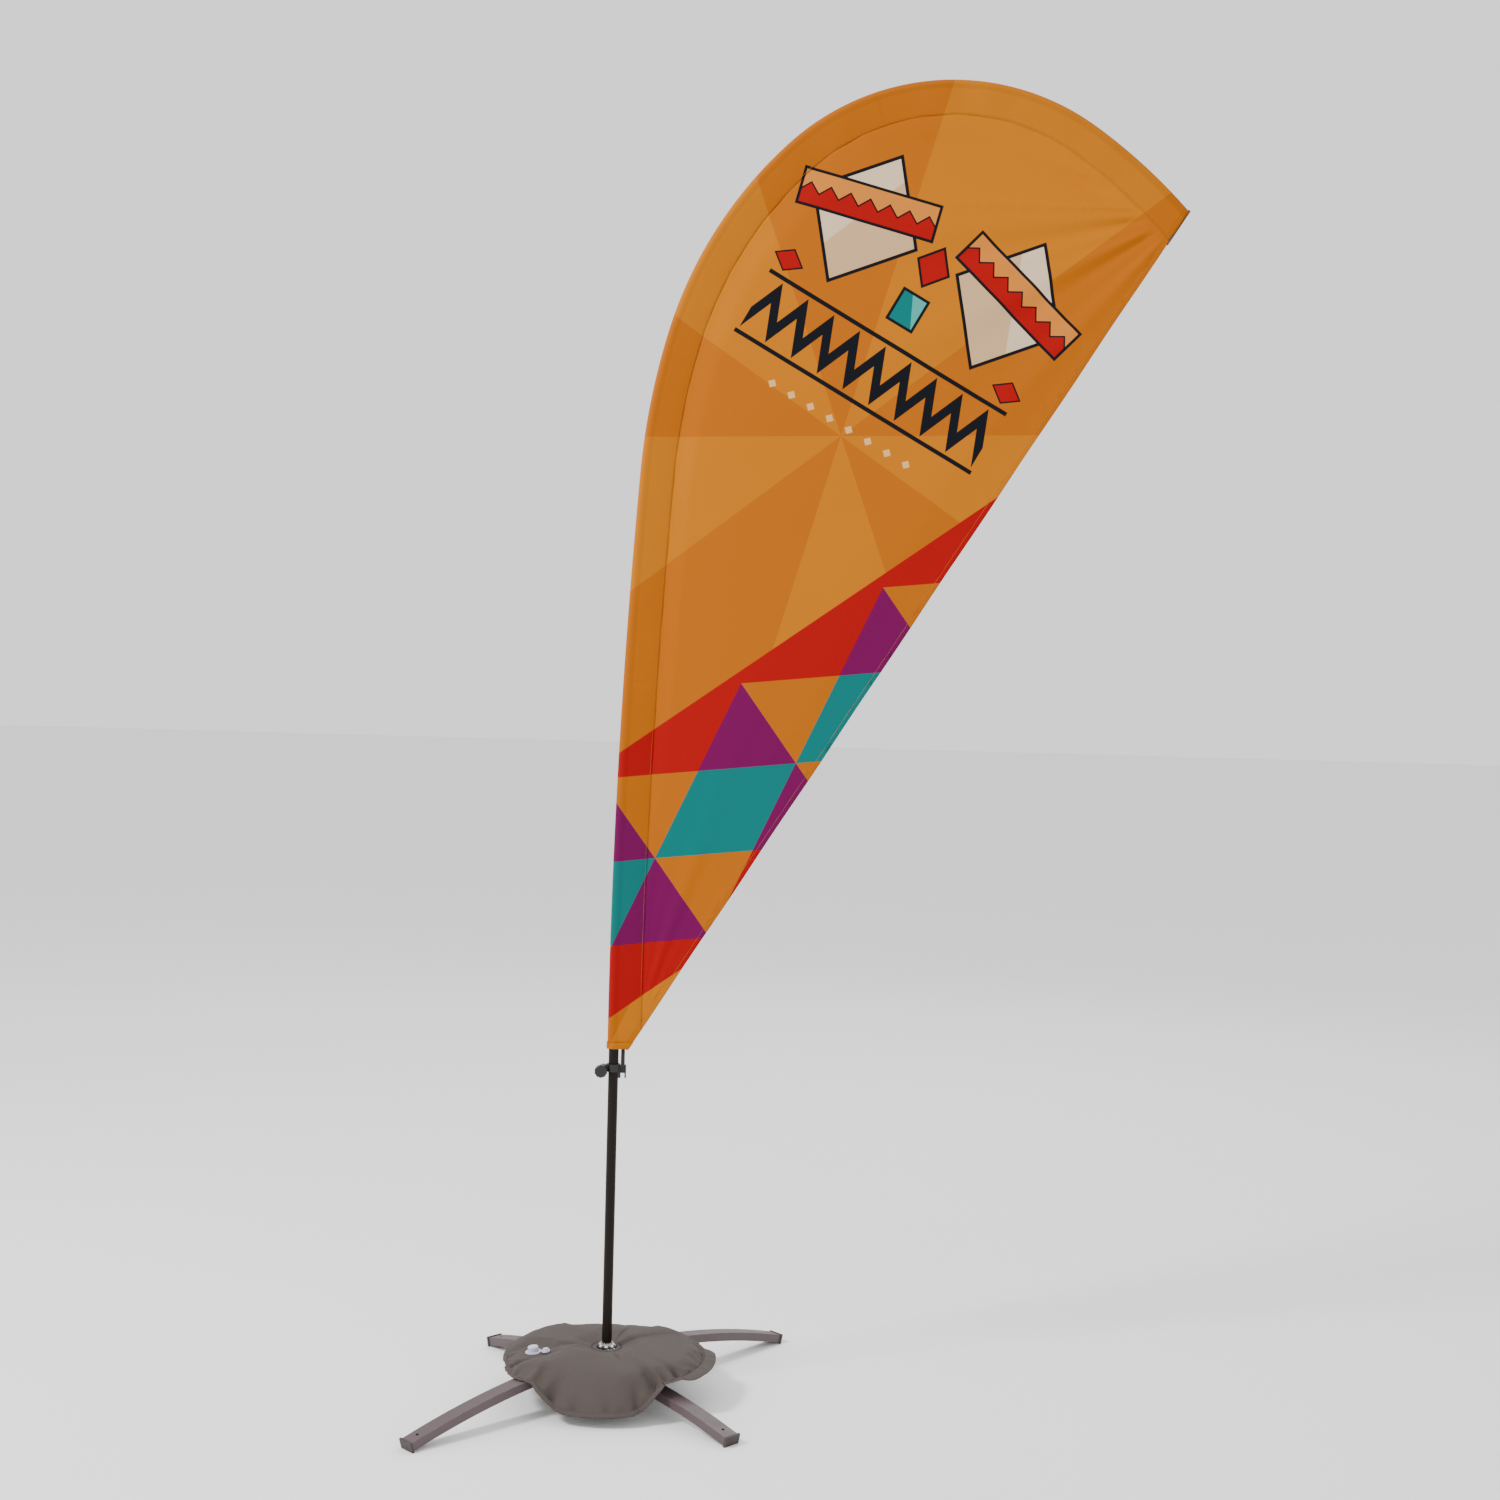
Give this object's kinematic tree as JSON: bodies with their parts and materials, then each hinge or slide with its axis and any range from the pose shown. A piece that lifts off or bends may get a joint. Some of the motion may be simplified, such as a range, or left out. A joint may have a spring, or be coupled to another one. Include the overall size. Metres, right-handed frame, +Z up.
{
  "type": "teardrop flag",
  "caption": "Free-standing teardrop flag: printed cloth on a bent sectional pole that spins on a ball-bearing spindle, over a folding crossed-bar base with a ring-shaped weight bag.",
  "frame": {"origin": "on the floor, on the axis that the mast turns about", "axes": "+Z up along the mast, +X towards the side the flag flies, the flag stands in the XZ plane and its front faces -Y"},
  "size_m": [1.5184, 0.734, 2.7485],
  "materials": {
    "bar_paint": "satin grey-brown powder coat",
    "cap_plastic": "matt moulded plastic",
    "zinc_steel": "bright zinc plate",
    "nylon": "natural nylon",
    "chrome": "polished chrome",
    "bearing_steel": "ground steel",
    "o_ring_rubber": "matt",
    "pole_black": "black anodised",
    "pole_fibreglass": "black wrapped fibreglass",
    "ferrule_metal": "satin",
    "tip_plastic": "matt",
    "flag_print": "knitted polyester with a printed pattern",
    "sleeve_print": "knitted polyester, doubled",
    "hem_print": "knitted polyester, folded and stitched",
    "tip_webbing": "stiff brown webbing",
    "strap_webbing": "black webbing",
    "clamp_plastic": "black moulded nylon",
    "bag_filled": "grey-brown coated cloth",
    "bag_cloth": "grey-brown coated cloth",
    "filler_plastic": "translucent white polyethylene"
  },
  "bodies": {
    "lower_frame": {"lower_bar": "bar_paint", "lower_bar_end_caps": "cap_plastic", "lower_bar_bushing": "zinc_steel", "pivot_spacer": "nylon", "pivot_bolt": "zinc_steel", "pivot_washer": "zinc_steel", "pivot_nut": "zinc_steel", "fluted_hub": "chrome", "bearing_outer_race": "bearing_steel", "bearing_balls": "bearing_steel", "bearing_circlip": "bearing_steel"},
    "upper_frame": {"upper_bar": "bar_paint", "upper_bar_end_caps": "cap_plastic", "upper_bar_bushing": "zinc_steel"},
    "spindle": {"spindle": "bearing_steel", "spindle_crown": "chrome", "spindle_o_rings": "o_ring_rubber", "bearing_inner_race": "bearing_steel"},
    "mast": {"pole_section_1": "pole_black", "pole_section_2": "pole_fibreglass", "pole_section_3": "pole_fibreglass", "pole_section_4": "pole_fibreglass", "pole_section_5": "pole_fibreglass", "pole_ferrules": "ferrule_metal", "pole_tip_cap": "tip_plastic", "pole_sleeve": "sleeve_print", "flag_panel": "flag_print", "free_edge_hem": "hem_print", "bottom_hem": "sleeve_print", "tip_pocket": "tip_webbing", "corner_patch": "strap_webbing", "tension_strap": "strap_webbing"},
    "tension_clamp": {"clamp_collar": "clamp_plastic", "clamp_nut": "zinc_steel"},
    "clamp_knob": {"clamp_knob": "clamp_plastic", "clamp_screw": "zinc_steel"},
    "weight_bag": {"water_bag": "bag_filled", "bag_hole_binding": "bag_cloth", "bag_flap": "bag_cloth", "filler_neck": "filler_plastic", "cap_tether": "filler_plastic"},
    "filler_cap": {"filler_cap": "filler_plastic"}
  },
  "joints": [
    {"name": "scissor_fold", "type": "hinge", "parent": "lower_frame", "child": "upper_frame", "pos_m": [0, 0, 0.083], "axis": [0, 0, 1], "range_deg": [-90, 0]},
    {"name": "spindle_spin", "type": "hinge", "parent": "lower_frame", "child": "spindle", "pos_m": [0, 0, 0.1], "axis": [0, 0, 1], "continuous": true},
    {"name": "mast_lift", "type": "slide", "parent": "spindle", "child": "mast", "axis": [0, 0, 1], "range_m": [0, 0.145]},
    {"name": "clamp_slide", "type": "slide", "parent": "mast", "child": "tension_clamp", "axis": [0, 0, 1], "range_m": [0, 0.02]},
    {"name": "knob_turn", "type": "hinge", "parent": "tension_clamp", "child": "clamp_knob", "pos_m": [-0.025, 0, 0.685], "axis": [0, -1, 0], "continuous": true},
    {"name": "bag_lift", "type": "slide", "parent": "lower_frame", "child": "weight_bag", "axis": [0, 0, 1], "range_m": [0, 0.25]},
    {"name": "filler_cap_turn", "type": "hinge", "parent": "weight_bag", "child": "filler_cap", "pos_m": [-0.1504, -0.0375, 0.09431], "axis": [-0.1014, -0.0253, 0.9945], "continuous": true}
  ]
}
